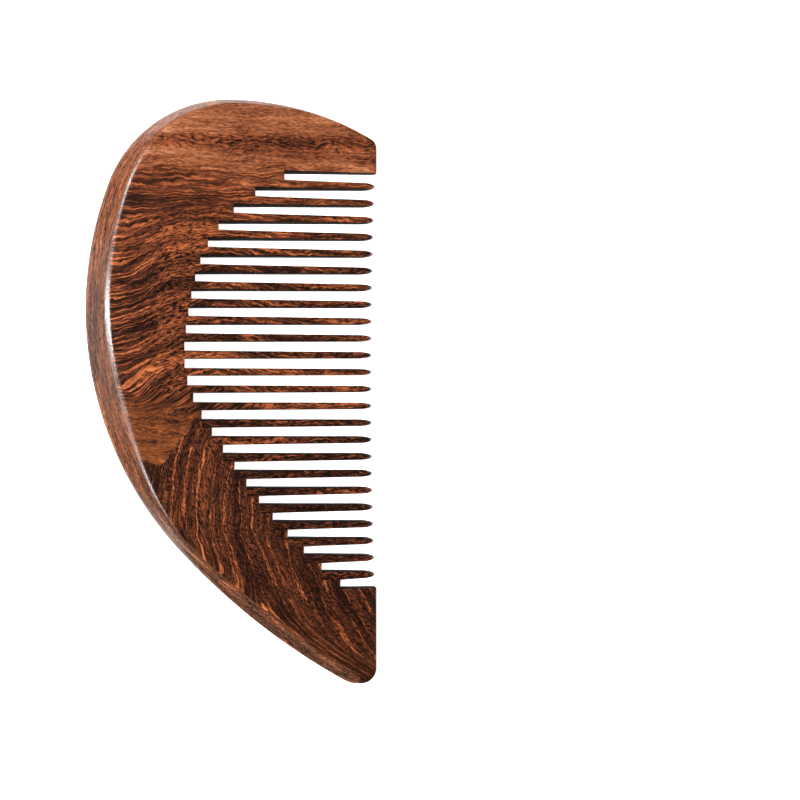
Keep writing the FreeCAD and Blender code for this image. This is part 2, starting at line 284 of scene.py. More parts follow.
class Outline(Trace):
    """Outer edge of the comb from the upper guard round the back to the lower guard.

    The path starts on the guard edge beside the first slot, goes up round the corner, over shoulder,
    crown, belly and flank to the toe, and back up the guard edge to the last slot.
    """

    STEP = 0.02
    FEWEST_STEPS = 8

    def __init__(self, sizes: CombSizes) -> None:
        """Lay out the arcs and sample them closely.

        Args:
            sizes: The comb's sizes.
        """
        self.sizes = sizes
        half = sizes.slot_width / 2
        self.first_y = sizes.slot_middle(0) + half
        self.last_y = sizes.slot_middle(sizes.tooth_count) - half
        self.arcs = self._arcs()
        points, self.angles = self._samples()
        self.measure(points)

    def _arcs(self) -> tuple[Arc, ...]:
        """Arcs from corner to corner, each tangent to its neighbours.

        The upper belly stands upright at the widest point and touches the crown; the lower belly starts
        upright there, and the flank leads from it to the toe.

        Returns:
            The eight arcs in order.
        """
        s = self.sizes
        span, rise = s.width - s.crown_offset, s.belly_drop - s.crown_radius
        upper = (span**2 + rise**2 - s.crown_radius**2) / 2 / (span - s.crown_radius)
        across, down = s.width - s.toe_offset, s.length - s.belly_drop - s.toe_radius
        half_turn = math.radians(s.flank_turn / 2)
        middle = math.radians(s.belly_turn) + half_turn
        lean, drop, straighten = math.cos(middle), math.sin(middle), math.cos(half_turn)
        lower = (down * drop - across * lean + s.toe_radius * straighten) / (straighten - lean)
        chord = (across - lower) * drop + down * lean
        flank = (chord / math.sin(half_turn) + s.toe_radius + lower) / 2

        crown_x, crown_y = s.edge - s.crown_offset, s.top - s.crown_radius
        shoulder_y, widest = s.top - s.shoulder_radius, s.top - s.belly_drop
        leave = math.pi + math.radians(s.belly_turn)
        meet_toe = leave + math.radians(s.flank_turn)
        flank_x = lower - s.edge - math.cos(leave) * (flank - lower)
        flank_y = widest - math.sin(leave) * (flank - lower)
        corner_x = s.edge - s.upper_corner
        reach = s.shoulder_radius - s.upper_corner
        corner_y = shoulder_y + math.sqrt(reach**2 - (corner_x - crown_x) ** 2)
        meet_shoulder = math.atan2(corner_y - shoulder_y, corner_x - crown_x)
        meet_crown = math.pi + math.atan2(widest - crown_y, upper - s.edge - crown_x)
        return (
            Arc(corner_x, corner_y, s.upper_corner, 0.0, meet_shoulder),
            Arc(crown_x, shoulder_y, s.shoulder_radius, meet_shoulder, math.pi / 2),
            Arc(crown_x, crown_y, s.crown_radius, math.pi / 2, meet_crown),
            Arc(upper - s.edge, widest, upper, meet_crown, math.pi),
            Arc(lower - s.edge, widest, lower, math.pi, leave),
            Arc(flank_x, flank_y, flank, leave, meet_toe),
            Arc(s.edge - s.toe_offset, s.toe_radius - s.top, s.toe_radius, meet_toe, 1.5 * math.pi),
            Arc(s.edge - s.lower_corner, s.lower_corner - s.top, s.lower_corner, 1.5 * math.pi, math.tau),
        )

    def _samples(self) -> tuple[np.ndarray, np.ndarray]:
        """Close samples of the whole path.

        Returns:
            Points, shaped (n, 2), and the angle that the outward direction has at each.
        """
        runs, angles = [np.array([[self.sizes.edge, self.first_y]])], [np.zeros(1)]
        for arc in self.arcs:
            steps = max(int(arc.radius * (arc.end - arc.start) / self.STEP), self.FEWEST_STEPS)
            turn = np.linspace(arc.start, arc.end, steps)
            x, y = arc.x + arc.radius * np.cos(turn), arc.y + arc.radius * np.sin(turn)
            runs.append(np.stack([x, y], axis=-1))
            angles.append(turn)
        runs.append(np.array([[self.sizes.edge, self.last_y]]))
        angles.append(np.full(1, math.tau))
        return np.concatenate(runs), np.concatenate(angles)

    def at(self, path: np.ndarray) -> tuple[np.ndarray, np.ndarray]:
        """Points of the outline and the directions into the wood.

        Args:
            path: Lengths along the outline.

        Returns:
            Points and unit directions, both shaped (n, 2).
        """
        x, y, angle = (np.interp(path, self.path, run) for run in (*self.points.T, self.angles))
        return np.stack([x, y], axis=-1), -np.stack([np.cos(angle), np.sin(angle)], axis=-1)


class SlotStairs(Trace):
    """Inner edge of the back: the staircase of slot roots and tooth seats between the guards."""

    FIRST_REACH = 17.7
    LAST_REACH = 7.0
    TENON = 3.0
    TENON_HALF_HEIGHT = 1.2
    MORTISE_HALF = 0.498
    START_X = 22.5
    FINE_UNTIL_X = 18.8
    END_X = 23.0
    COARSE, MIDDLING, FINE, FINEST = 0.5, 0.45, 0.12, 0.06

    def __init__(self, sizes: CombSizes, plane: RestingPlane) -> None:
        """Find the roots and walk the stairs.

        A tooth stands on the deeper of the two slot roots beside it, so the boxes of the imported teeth
        give every root but the first and the last.

        Args:
            sizes: The comb's sizes.
            plane: Plane that the comb rests in.
        """
        self.sizes = sizes
        teeth = range(1, sizes.tooth_count + 1)
        lows = [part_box(f"tooth_{tooth:02d}")[0].x / MILLIMETRE for tooth in teeth]
        reach = self.TENON_HALF_HEIGHT * math.sin(plane.lean) - plane.shift
        self.seats = (np.array(lows) + reach) / math.cos(plane.lean) + self.TENON
        deepest = int(np.argmin(self.seats))
        ends = sizes.edge - np.array([self.FIRST_REACH, self.LAST_REACH])
        above, under = self.seats[: deepest + 1], self.seats[deepest + 2 :]
        self.roots = np.concatenate([ends[:1], above, under, ends[1:]])
        self._walk()

    def _walk(self) -> None:
        """Collect the corners, split the runs between them and note what lies where.

        A corner is its X and Y, the spacing of the stations after it, and 1 if the run after it has a
        broken edge or 0 if a tooth closes it.  The mitre at a station is the sum of the two squares
        to the runs that meet there, stretched so that its part along each is 1.
        """
        sizes, half = self.sizes, self.sizes.slot_width / 2
        first_y, last_y = sizes.slot_middle(0) + half, sizes.slot_middle(sizes.tooth_count) - half
        corners = [
            (self.START_X, first_y, self.FINE, 1.0),
            (self.FINE_UNTIL_X, first_y, self.COARSE, 1.0),
            (self.roots[0], first_y, self.MIDDLING, 1.0),
        ]
        mortise_marks: list[tuple[int, int]] = []
        for tooth in range(sizes.tooth_count):
            lower, upper = sizes.slot_middle(tooth) - half, sizes.slot_middle(tooth + 1) + half
            middle, here, after = sizes.slot_middle(tooth + 0.5), self.roots[tooth], self.roots[tooth + 1]
            seat = min(here, after)
            corners.append((here, lower, self.COARSE, 0.0))
            if after < here:
                corners.append((seat, lower, self.COARSE, 0.0))
            mortise_marks.append((len(corners), len(corners) + 1))
            corners.append((seat, middle + self.MORTISE_HALF, self.COARSE, 0.0))
            corners.append((seat, middle - self.MORTISE_HALF, self.COARSE, 0.0))
            corners.append((seat, upper, self.COARSE, 0.0 if after > here else 1.0))
            if after > here:
                corners.append((after, upper, self.MIDDLING, 1.0))
        corners.append((self.roots[-1], last_y, self.FINEST, 1.0))
        corners.append((self.END_X, last_y, self.FINEST, 1.0))
        table = np.array(corners)
        knots, spacing, eased = table[:, :2], table[:-1, 2], table[:-1, 3]
        lengths = np.hypot(*np.diff(knots, axis=0).T)
        cells = np.maximum(np.ceil(lengths / spacing).astype(int), 1)
        marks = np.concatenate([[0], np.cumsum(cells)])
        stations = np.arange(marks[-1] + 1)
        self.measure(np.stack([np.interp(stations, marks, run) for run in knots.T], axis=-1))
        run = np.clip(np.searchsorted(marks, stations, side="right") - 1, 0, len(cells) - 1)
        before = np.clip(np.searchsorted(marks, stations, side="left") - 1, 0, len(cells) - 1)
        along = np.diff(knots, axis=0) / lengths[:, None]
        square = np.stack([along[:, 1], -along[:, 0]], axis=-1)
        total = square[run] + square[before]
        self.mitre = total / np.maximum((total * square[run]).sum(axis=1), 0.5)[:, None]
        self.eased = np.minimum(eased[run], eased[before])
        self.mortises = [(int(marks[a]), int(marks[b])) for a, b in mortise_marks]


def smooth_step(value: np.ndarray, start: float, end: float) -> np.ndarray:
    """Rise from 0 at start to 1 at end with level ends; it falls if end lies below start."""
    share = np.clip((value - start) / (end - start), 0.0, 1.0)
    return share * share * (3 - 2 * share)


def soft_minimum(first: np.ndarray, second: np.ndarray, blend: np.ndarray) -> np.ndarray:
    """Lower of two heights, rounded where they differ by less than the blend."""
    overlap = np.maximum(blend - np.abs(first - second), 0.0) / blend
    return np.minimum(first, second) - overlap**2 * blend / 4


@dataclass(frozen=True)
class GrainMap:
    """How the figure of the wood runs through the comb, all in comb-plane millimetres."""

    level_above: float = 38.0
    lean_below: float = 24.0
    lean_middle: float = -14.5
    lean_slope: float = 0.15
    lean_height: float = 2.1
    lean_run: float = 5.5
    slots_from: float = -4.0
    slots_fade: float = 9.0
    dip_place: tuple[float, float] = (-18.5, -0.5)
    dip_spread: tuple[float, float] = (3.4, 3.2)
    dip_depth: float = 1.7
    seam_top: tuple[float, float] = (-7.3, -4.5)
    seam_bottom: tuple[float, float] = (-13.3, -13.4)
    tongue_fall: float = 0.35
    tongue_round: float = 0.9
    sweep_height: float = -21.5
    sweep_curve: float = 0.016
    fineness: float = 1.25
    flank_centre: tuple[float, float] = (84.8, 56.3)
    flank_radius: float = 127.6

    PALE_LEVELS = (-60.0, 20.0, 29.0, 33.5, 37.5, 42.0, 43.6, 45.0, 45.9, 47.6, 48.6, 50.5, 60.0)
    PALE_SHARES = (0.15, 0.15, 0.22, 0.34, 0.50, 0.56, 0.66, 0.64, 0.48, 0.48, 0.74, 0.90, 0.90)

    def upper(self, x: np.ndarray, y: np.ndarray, z: np.ndarray) -> np.ndarray:
        """Figure above the seam: level in the upper guard, rising from the belly to the slots below it.

        The lines are the heights of y less a rise, which is an S along x times a window along y, and
        they dip once near the widest point.

        Args:
            x: X of the points.
            y: Y of the points.
            z: Z of the points.

        Returns:
            Vectors along the grain, across it and through the thickness.
        """
        window = smooth_step(y, self.level_above, self.lean_below) - 1.3 * smooth_step(y, 1.0, -5.0)
        off = x - self.lean_middle
        lean = self.lean_slope * off + self.lean_height * np.tanh(off / self.lean_run)
        past = (x - self.slots_from) / self.slots_fade
        rise = np.where(past > 0, lean * np.exp(-(past**2)), lean)
        aside = (x - self.dip_place[0]) / self.dip_spread[0]
        over = (y - self.dip_place[1]) / self.dip_spread[1]
        dip = self.dip_depth * np.exp(-(aside**2) - over**2)
        across = y - window * rise + dip
        return np.stack([x + 0.3 * window * (y - 15), across, z], axis=-1)

    def flank_depth(self, x: np.ndarray, y: np.ndarray) -> np.ndarray:
        """Distance of the points from the flank."""
        return self.flank_radius - np.hypot(x - self.flank_centre[0], y - self.flank_centre[1])

    def lower(self, x: np.ndarray, y: np.ndarray, z: np.ndarray) -> np.ndarray:
        """Figure below the seam: like curves side by side that bend to follow the flank near it.

        Each line keeps x less a parabola of y, so that the lines stand upright at the sweep height.

        Args:
            x: X of the points.
            y: Y of the points.
            z: Z of the points.

        Returns:
            Vectors along the grain, across it and through the thickness.
        """
        bend = self.sweep_curve * (y - self.sweep_height) ** 2
        depth = self.flank_depth(x, y)
        follow = smooth_step(depth, 6.0, 1.0) * smooth_step(y, -30.0, -44.0)
        across = (x - bend) * (1 - follow) + (depth - 1.5) * follow
        return np.stack([self.fineness * (0.5 * x - y), self.fineness * across, z], axis=-1)

    def seam(self, x: np.ndarray, y: np.ndarray) -> np.ndarray:
        """Signed distance from the seam between the two figures, positive above it.

        The seam runs straight from its top to its bottom, turns back to the belly in a blunt tongue and
        runs level beyond its top.

        Args:
            x: X of the points.
            y: Y of the points.

        Returns:
            Distance of each point from the seam.
        """
        run = np.array(self.seam_top) - np.array(self.seam_bottom)
        run = run / np.hypot(*run)
        left = (y - self.seam_bottom[1]) * run[0] - (x - self.seam_bottom[0]) * run[1]
        floor = y - self.seam_bottom[1] + self.tongue_fall * (x - self.seam_bottom[0])
        tongue = soft_minimum(left, floor, np.full_like(left, self.tongue_round))
        return np.maximum(tongue, y - self.seam_top[1])

    def zones(self, x: np.ndarray, y: np.ndarray, across: np.ndarray) -> np.ndarray:
        """Where the wood is pale, where its figure breaks into flecks and where it turns golden.

        The pale share follows the grain down from the crown, the golden share fills the tongue above
        the seam, and the flecks take over from the lines towards the slots and below the seam.

        Args:
            x: X of the points.
            y: Y of the points.
            across: Upper grain's value across the grain.

        Returns:
            Vectors of the pale, the flecked and the golden share.
        """
        above = smooth_step(self.seam(x, y), -0.1, 0.1)
        gold = above * smooth_step(y + 0.22 * x, -0.5, -9.5) * 1.1
        pale = np.interp(across, self.PALE_LEVELS, self.PALE_SHARES) * above - 0.3 * (1 - above)
        beside_slots = smooth_step(x, -19.0, -12.0) * smooth_step(y, 38.0, 28.0)
        fleck_upper = 0.25 + 0.55 * beside_slots + 0.55 * smooth_step(y, 40.0, 44.0)
        fleck_lower = 0.72 - 0.35 * smooth_step(self.flank_depth(x, y), 8.0, 2.5)
        flecks = fleck_upper * above + fleck_lower * (1 - above)
        return np.stack([pale, flecks, gold], axis=-1)


@dataclass
class SpineBoard:
    """Back of the comb: one board with bevelled rims, two guards and the mortises for the teeth."""

    sizes: CombSizes
    plane: RestingPlane
    grain: GrainMap
    outline: Outline
    stairs: SlotStairs
    ease: float = 0.12
    roll: float = 0.6
    knee_rise: float = 0.36
    least_crest: float = 0.4
    least_pitch: float = 0.3
    blend: tuple[float, float] = (0.30, 0.85)
    blend_ridge: tuple[float, float] = (1.0, 3.0)
    blend_reach: float = 1.15
    least_blend: float = 0.5
    bevel_until: float = 0.66
    face_fall: float = 0.07
    ease_in: tuple[float, float] = (1.0, 0.6)
    cap_shade: float = 0.75
    mortise_depth: float = 3.05
    mortise_half_height: float = 1.25
    crease: float = 38.0

    NAMES = ("grain_upper", "grain_lower", "rim", "seam_and_shade", "zones")
    LEVELS = (1.0, 0.6, 0.2, -0.2, -0.6, -1.0)
    EASE_STEPS = (2.4, 1.0, 0.55, 0.2, 0.0)
    ROLL_ROWS, BEVEL_ROWS, RIDGE_ROWS, FACE_ROWS = 9, 9, 15, 34
    RIDGE_WINDOW = 13
    BRIDGES = (
        ((27.2, 41.775), (22.5, 41.775)),
        ((27.2, 46.5), (20.6, 41.775)),
        ((26.16, 48.25), (18.8, 41.775)),
        ((9.5, 54.2), (9.5, 41.775)),
        ((-0.1, 55.0), (4.4, 37.6)),
        ((-17.35, 47.85), (-2.2, 31.0)),
        ((-22.97, 39.1), (-5.4, 26.5)),
        ((-27.2, 15.6), (-8.5, 15.0)),
        ((-23.4, -8.0), (-8.0, -1.0)),
        ((-10.03, -29.1), (2.6, -16.0)),
        ((4.49, -42.9), (11.4, -27.0)),
        ((21.0, -54.25), (20.3, -36.92)),
        ((24.4, -55.0), (21.2, -36.92)),
        ((27.2, -52.2), (22.2, -36.92)),
        ((27.2, -36.92), (23.0, -36.92)),
    )
    RIDGE_PLACES = (
        ((27.2, 41.775), 0.9),
        ((9.5, 54.2), 0.9),
        ((-0.1, 55.0), 1.0),
        ((-13.4, 51.0), 2.0),
        ((-21.0, 43.1), 3.3),
        ((-26.4, 25.0), 3.75),
        ((-27.2, 15.6), 3.85),
        ((-24.3, -4.0), 4.15),
        ((-21.3, -11.0), 3.6),
        ((-17.0, -20.0), 2.5),
        ((-11.5, -27.6), 1.9),
        ((-4.0, -35.5), 2.3),
        ((4.49, -42.9), 2.7),
        ((21.0, -54.25), 2.1),
        ((24.4, -55.0), 1.1),
        ((27.2, -36.92), 0.9),
    )

    def make(self) -> bpy.types.Object:
        """Lay the grids of the two faces, the walls, the guard ends and the mortises, and weld them.

        Returns:
            The finished board.
        """
        rows = self._rows()
        patches = Patchwork(self.NAMES)
        for side in (1, -1):
            places, vectors = self._dress(rows, side)
            patches.add_grid(places[None, ::side], vectors[None, ::side])
        self._add_walls(patches, rows)
        return patches.build("spine_board", self.crease)

    def _rows(self) -> np.ndarray:
        """Points of the upper face on a grid of stations by rows.

        Each station joins a point of the outline with one of the stairs.  The outer rows follow the
        outline at growing distances, the middle rows go straight across and the inner rows follow the
        stairs.  Heights are the softened minimum of the bevel and the flat face.

        Returns:
            For each point X, Y, Z, its distance from the outline, the path length, the ridge's
            distance from the outline and the share of painted shade, along the last axis.
        """
        sizes, stairs = self.sizes, self.stairs
        outer = [self.outline.nearest(pair[0]) for pair in self.BRIDGES]
        inner = [stairs.nearest(pair[1]) for pair in self.BRIDGES]
        path = np.interp(stairs.path, inner, outer)
        path[0], path[-1] = 0.0, self.outline.path[-1]
        rim, inward = self.outline.at(path)
        knots = [self.outline.nearest(place) for place, _ in self.RIDGE_PLACES]
        ridge = np.interp(path, knots, [width for _, width in self.RIDGE_PLACES])
        kernel = np.hanning(self.RIDGE_WINDOW) / np.hanning(self.RIDGE_WINDOW).sum()
        ridge = np.convolve(np.pad(ridge, self.RIDGE_WINDOW // 2, mode="edge"), kernel, mode="valid")

        narrow, wide = self.blend
        blend = narrow + (wide - narrow) * smooth_step(ridge, *self.blend_ridge)
        flat = sizes.face(rim[:, 0])
        crest = sizes.face(rim[:, 0] + ridge * inward[:, 0])
        foot = np.minimum(sizes.rim_height / 2, flat - self.least_crest)
        knee = foot + self.knee_rise
        pitch = np.maximum((crest - knee) / ridge, self.least_pitch)
        landing = (crest - knee) / pitch
        near = np.maximum(landing - blend / pitch, self.bevel_until)
        reach = self.blend_reach * blend / (pitch - self.face_fall)
        far = np.maximum(landing + reach, near + self.least_blend)
        curl = self.roll * np.linspace(0.0, 1.0, self.ROLL_ROWS) ** 2
        climb = np.linspace(0.0, 1.0, self.BEVEL_ROWS)[1:]
        crown = np.linspace(0.0, 1.0, self.RIDGE_ROWS)[1:]
        depth = np.concatenate(
            [
                np.broadcast_to(curl, (len(path), self.ROLL_ROWS)),
                self.roll + climb * (near[:, None] - self.roll),
                near[:, None] + crown * (far - near)[:, None],
            ],
            axis=1,
        )
        turn = np.sqrt(np.clip(depth / self.roll, 0.0, 1.0))
        join = (knee + self.roll * pitch)[:, None]
        rolled = foot[:, None] * (1 - turn) ** 2 + 2 * knee[:, None] * turn * (1 - turn) + join * turn**2
        slant = np.where(depth < self.roll, rolled, knee[:, None] + pitch[:, None] * depth)
        places = rim[:, None] + depth[..., None] * inward[:, None]
        rounding = np.broadcast_to(blend[:, None], depth.shape)
        height = soft_minimum(sizes.face(places[..., 0]), slant, rounding)

        steps = stairs.path
        first, last = self.ease_in
        ramp = smooth_step(steps, 0.0, first) * smooth_step(steps[-1] - steps, 0.0, last)
        offsets = self.ease * np.array(self.EASE_STEPS)
        margin = offsets[None] * ramp[:, None]
        edge = stairs.points[:, None] + margin[..., None] * stairs.mitre[:, None]
        inset = self.ease - np.minimum(offsets, self.ease)
        round_drop = self.ease - np.sqrt(np.maximum(self.ease**2 - inset**2, 0))
        edge_height = sizes.face(edge[..., 0]) - round_drop[None] * (ramp * stairs.eased)[:, None]

        start, finish = places[:, -1], edge[:, 0]
        share = np.linspace(0.0, 1.0, self.FACE_ROWS)[1:-1]
        middle = start[:, None] + share[None, :, None] * (finish - start)[:, None]
        gap = np.hypot(*(finish - start).T)[:, None]
        whole = np.concatenate([places, middle, edge], axis=1)
        z = np.concatenate([height, sizes.face(middle[..., 0]), edge_height], axis=1)
        inner_depth = depth[:, -1:] + np.minimum(np.append(share, np.ones(len(offsets))), 1.0) * gap
        # The last row, at the slot edges, carries full painted shade.
        dark = np.zeros(z.shape)
        dark[:, -1] = 1.0
        columns = (np.concatenate([depth, inner_depth], axis=1), path[:, None], ridge[:, None], dark)
        spread = [np.broadcast_to(column, z.shape) for column in columns]
        return np.stack([whole[..., 0], whole[..., 1], z, *spread], axis=-1)

    def _add_walls(self, patches: Patchwork, rows: np.ndarray) -> None:
        """Close the board between its two faces.

        Each wall joins the upper edge with its mirror image over six levels.  The level shares of the
        guard ends run evenly from those of the outer wall to those of the inner wall.

        Args:
            patches: Where the grids go.
            rows: The grid of the upper face.
        """
        count = len(self.LEVELS)
        outer = np.broadcast_to(np.array(self.LEVELS), (len(rows), count))
        hole = self.mortise_half_height / rows[:, -1, 2]
        above = np.stack([np.ones(len(rows)), (1 + hole) / 2, hole], axis=1)
        inner = np.concatenate([above, -above[:, ::-1]], axis=1)

        places, vectors = self._dress(np.repeat(rows[:, :1], count, axis=1), outer)
        patches.add_grid(places[None, ::-1], vectors[None, ::-1])
        # The slot walls take the sawn wall material, painted near-black as shade.
        places, vectors = self._dress(np.repeat(rows[:, -1:], count, axis=1), inner)
        keep = np.ones((len(rows) - 1, count - 1), bool)
        for start, end in self.stairs.mortises:
            keep[start:end, 2] = False
        patches.add_grid(places[None], vectors[None], sawn=True, keep=keep)
        self._add_mortises(patches, places, vectors)
        for station, order in ((0, 1), (-1, -1)):
            share = np.linspace(0.0, 1.0, rows.shape[1])[:, None]
            cap = np.repeat(rows[station][:, None], count, axis=1)
            # The guard ends carry painted shade at this share.
            cap[..., -1] = self.cap_shade
            places, vectors = self._dress(cap, outer[station] * (1 - share) + inner[station] * share)
            patches.add_grid(places[None, ::order], vectors[None, ::order], sawn=True)

    def _add_mortises(self, patches: Patchwork, places: np.ndarray, vectors: np.ndarray) -> None:
        """Sink a square-cornered blind hole at every tooth seat.

        The hole's rim is the ring of wall points round its cell; its walls join the ring with a copy
        moved into the wood by the mortise depth, and the copy is closed by one face.

        Args:
            patches: Where the grids go.
            places: World points of the inner wall, shaped (stations, levels, 3).
            vectors: Attribute vectors of the same points.
        """
        ends = self.plane.to_world(np.array([[-self.mortise_depth, 0.0, 0.0], [0.0, 0.0, 0.0]]))
        moved = ends[0] - ends[1]
        for start, end in self.stairs.mortises:
            wide = slice(start, end + 1)
            front, front_vectors = places[wide, 2:4], vectors[wide, 2:4]
            back = front + moved
            patches.add_grid(back[None], front_vectors[None], sawn=True)
            ring = np.concatenate([front[:, 0], front[::-1, 1], front[:1, 0]])
            ring_vectors = np.concatenate([front_vectors[:, 0], front_vectors[::-1, 1], front_vectors[:1, 0]])
            walls = np.stack([ring, ring + moved], axis=1)
            wall_vectors = np.stack([ring_vectors, ring_vectors], axis=1)
            patches.add_grid(walls[None], wall_vectors[None], sawn=True)

    def _dress(self, rows: np.ndarray, levels: float | np.ndarray) -> tuple[np.ndarray, np.ndarray]:
        """Place grid points at shares of their heights and give them what the wood reads there.

        Args:
            rows: Points as the grid of the upper face holds them.
            levels: Shares of the heights.

        Returns:
            World places and the five vectors of each point.
        """
        x, y, z, depth, path, ridge, dark = np.moveaxis(rows, -1, 0)
        z = z * levels
        inside = np.minimum(ridge - depth, 1.5 * (ridge - 1.3))
        rim = np.stack([path, np.sign(z) * depth + z, inside], axis=-1)
        upper, lower = self.grain.upper(x, y, z), self.grain.lower(x, y, z)
        seam_and_shade = np.stack([self.grain.seam(x, y), dark, np.zeros_like(z)], axis=-1)
        zones = self.grain.zones(x, y, upper[..., 1])
        places = self.plane.to_world(np.stack([x, y, z], axis=-1))
        return places, np.stack([upper, lower, rim, seam_and_shade, zones], axis=-2)


@dataclass
class ToothRow:
    """The inserted teeth, each a tapered bar with a rounded nose and a hidden tenon."""

    sizes: CombSizes
    plane: RestingPlane
    grain: GrainMap
    stairs: SlotStairs
    taper: float = 0.22
    setback: float = 0.1
    hollow: float = 0.7
    nose: float = 2.6
    land: float = 0.6
    tenon: float = SlotStairs.TENON
    tenon_shoulder: float = 0.28
    tenon_half_height: float = SlotStairs.TENON_HALF_HEIGHT
    edge_radius: float = 0.24
    sharp_radius: float = 0.03
    rounding: tuple[float, float] = (-0.3, 0.9)
    sawn_from: float = 0.9
    shade: tuple[float, float] = (0.55, 0.95)
    fleck_share: float = 0.35
    fleck_growth: float = 0.02
    crease: float = 40.0

    ROOT_RINGS, BAR_RINGS, NOSE_RINGS, CORNER_POINTS = 5, 30, 15, 6
    FAR = 20.0

    def make(self, tooth: int) -> bpy.types.Object:
        """Carry a rounded rectangle along the tooth.

        The half width falls evenly from the land to the nose and the half height follows the flat
        faces; both end on an ellipse at the tip.  The corner radius grows once the tooth leaves the
        back.  Poles close the tenon's end and the tip.

        Args:
            tooth: Number of the tooth from 0 at the top.

        Returns:
            The finished tooth.
        """
        sizes, seat = self.sizes, float(self.stairs.seats[tooth])
        share = (2 * tooth + 1) / sizes.tooth_count - 1
        tip = sizes.edge - self.setback - self.hollow * (1 - share**2) - seat
        step = abs(float(self.stairs.roots[tooth + 1] - self.stairs.roots[tooth])) + self.land
        start = tip - self.nose
        root = np.linspace(0.0, step, self.ROOT_RINGS)
        bar = np.concatenate([root, np.linspace(step, start, self.BAR_RINGS)[1:]])
        curl = np.sin(np.linspace(0.0, math.pi / 2, self.NOSE_RINGS)[1:])
        reach = np.concatenate([bar, start + self.nose * curl])
        half_root, half_tip = sizes.tooth_width / 2, (sizes.tooth_width - self.taper) / 2
        width = np.interp(reach, [step, start], [half_root, half_tip])
        height = sizes.face(seat + np.minimum(reach, start))
        close = np.concatenate([np.ones(len(bar)), np.sqrt(np.maximum(1 - curl**2, 0.0))])
        growth = smooth_step(reach - step, *self.rounding)
        radius = self.sharp_radius + (self.edge_radius - self.sharp_radius) * growth

        tongue = np.array([-self.tenon, -self.tenon, 0.0])
        reach = np.concatenate([tongue, reach])
        width = np.concatenate([np.full(3, half_root - self.tenon_shoulder), width])
        height = np.concatenate([np.full(3, self.tenon_half_height), height])
        close = np.concatenate([[0.0, 1.0, 1.0], close])
        radius = np.concatenate([np.full(3, self.sharp_radius), radius])
        across, through, side = self._section(width, height, radius)
        across, through = across * close[:, None], through * close[:, None]
        along = np.broadcast_to(reach[:, None], across.shape)
        x, y, z = seat + along, sizes.slot_middle(tooth + 0.5) + across, through
        places = self.plane.to_world(np.stack([x, y, z], axis=-1))
        patches = Patchwork(SpineBoard.NAMES)
        # The sides of the tooth take the sawn wall material, painted near-black as shade.
        sawn = np.minimum(side[:-1, :-1], side[:-1, 1:]) > self.sawn_from
        vectors = self._vectors(tooth, x, y, z, side)
        patches.add_grid(places[None, ::-1], vectors[None, ::-1], sawn=sawn[::-1])
        return patches.build(f"comb_tooth_{tooth + 1:02d}", self.crease)

    def _section(
        self, width: np.ndarray, height: np.ndarray, radius: np.ndarray
    ) -> tuple[np.ndarray, ...]:
        """Closed rounded rectangles, one for each place along the tooth.

        Four quarter circles stand in the corners and three points divide each side between them.

        Args:
            width: Half widths.
            height: Half heights.
            radius: Corner radii.

        Returns:
            Y and Z of the ring's points, and how far each faces sideways, from 0 to 1.
        """
        quarter = np.linspace(0.0, math.pi / 2, self.CORNER_POINTS)
        turn = np.concatenate([quarter + corner * math.pi / 2 for corner in range(4)])
        sign_y = np.repeat([1.0, -1.0, -1.0, 1.0], self.CORNER_POINTS)
        sign_z = np.repeat([1.0, 1.0, -1.0, -1.0], self.CORNER_POINTS)
        y = sign_y * (width - radius)[:, None] + radius[:, None] * np.cos(turn)
        z = sign_z * (height - radius)[:, None] + radius[:, None] * np.sin(turn)
        y, z = self._divide(y), self._divide(z)
        flat = np.abs(self._divide(np.cos(turn)[None])[0])
        return y, z, np.broadcast_to(flat, y.shape)

    def _divide(self, ring: np.ndarray) -> np.ndarray:
        """Put three more points on each straight side of the rings and repeat the first point.

        Args:
            ring: One coordinate of the rings, shaped (rings, four corners of points).

        Returns:
            The longer rings, with their first point again at the end.
        """
        corner = ring.reshape(len(ring), 4, self.CORNER_POINTS)
        following = np.roll(corner, -1, axis=1)[..., :1]
        share = np.array([0.25, 0.5, 0.75])
        between = corner[..., -1:] + share * (following - corner[..., -1:])
        whole = np.concatenate([corner, between], axis=2).reshape(len(ring), -1)
        return np.concatenate([whole, whole[:, :1]], axis=1)

    def _vectors(
        self, tooth: int, x: np.ndarray, y: np.ndarray, z: np.ndarray, side: np.ndarray
    ) -> np.ndarray:
        """Vectors that the wood reads: every tooth is its own slip of straight-grained wood.

        Args:
            tooth: Number of the tooth.
            x: X of the points.
            y: Y of the points.
            z: Z of the points.
            side: How far each point faces sideways.

        Returns:
            The five vectors of each point.
        """
        straight = self.grain.upper(x, y, z)
        far = np.full_like(x, self.FAR)
        rim = np.stack([x, far, -far], axis=-1)
        # The sides of the tooth carry painted shade.
        seam_and_shade = np.stack([far, smooth_step(side, *self.shade), np.zeros_like(x)], axis=-1)
        zones = self.grain.zones(x, y, straight[..., 1])
        zones[..., 1] = self.fleck_share + self.fleck_growth * tooth
        return np.stack([straight, straight, rim, seam_and_shade, zones], axis=-2)


def linear(red: int, green: int, blue: int) -> Triple:
    """Linear colour of a display colour given from 0 to 255."""
    shares = np.array([red, green, blue]) / 255
    curve = ((shares + 0.055) / 1.055) ** 2.4
    return tuple(np.where(shares <= 0.04045, shares / 12.92, curve).tolist())


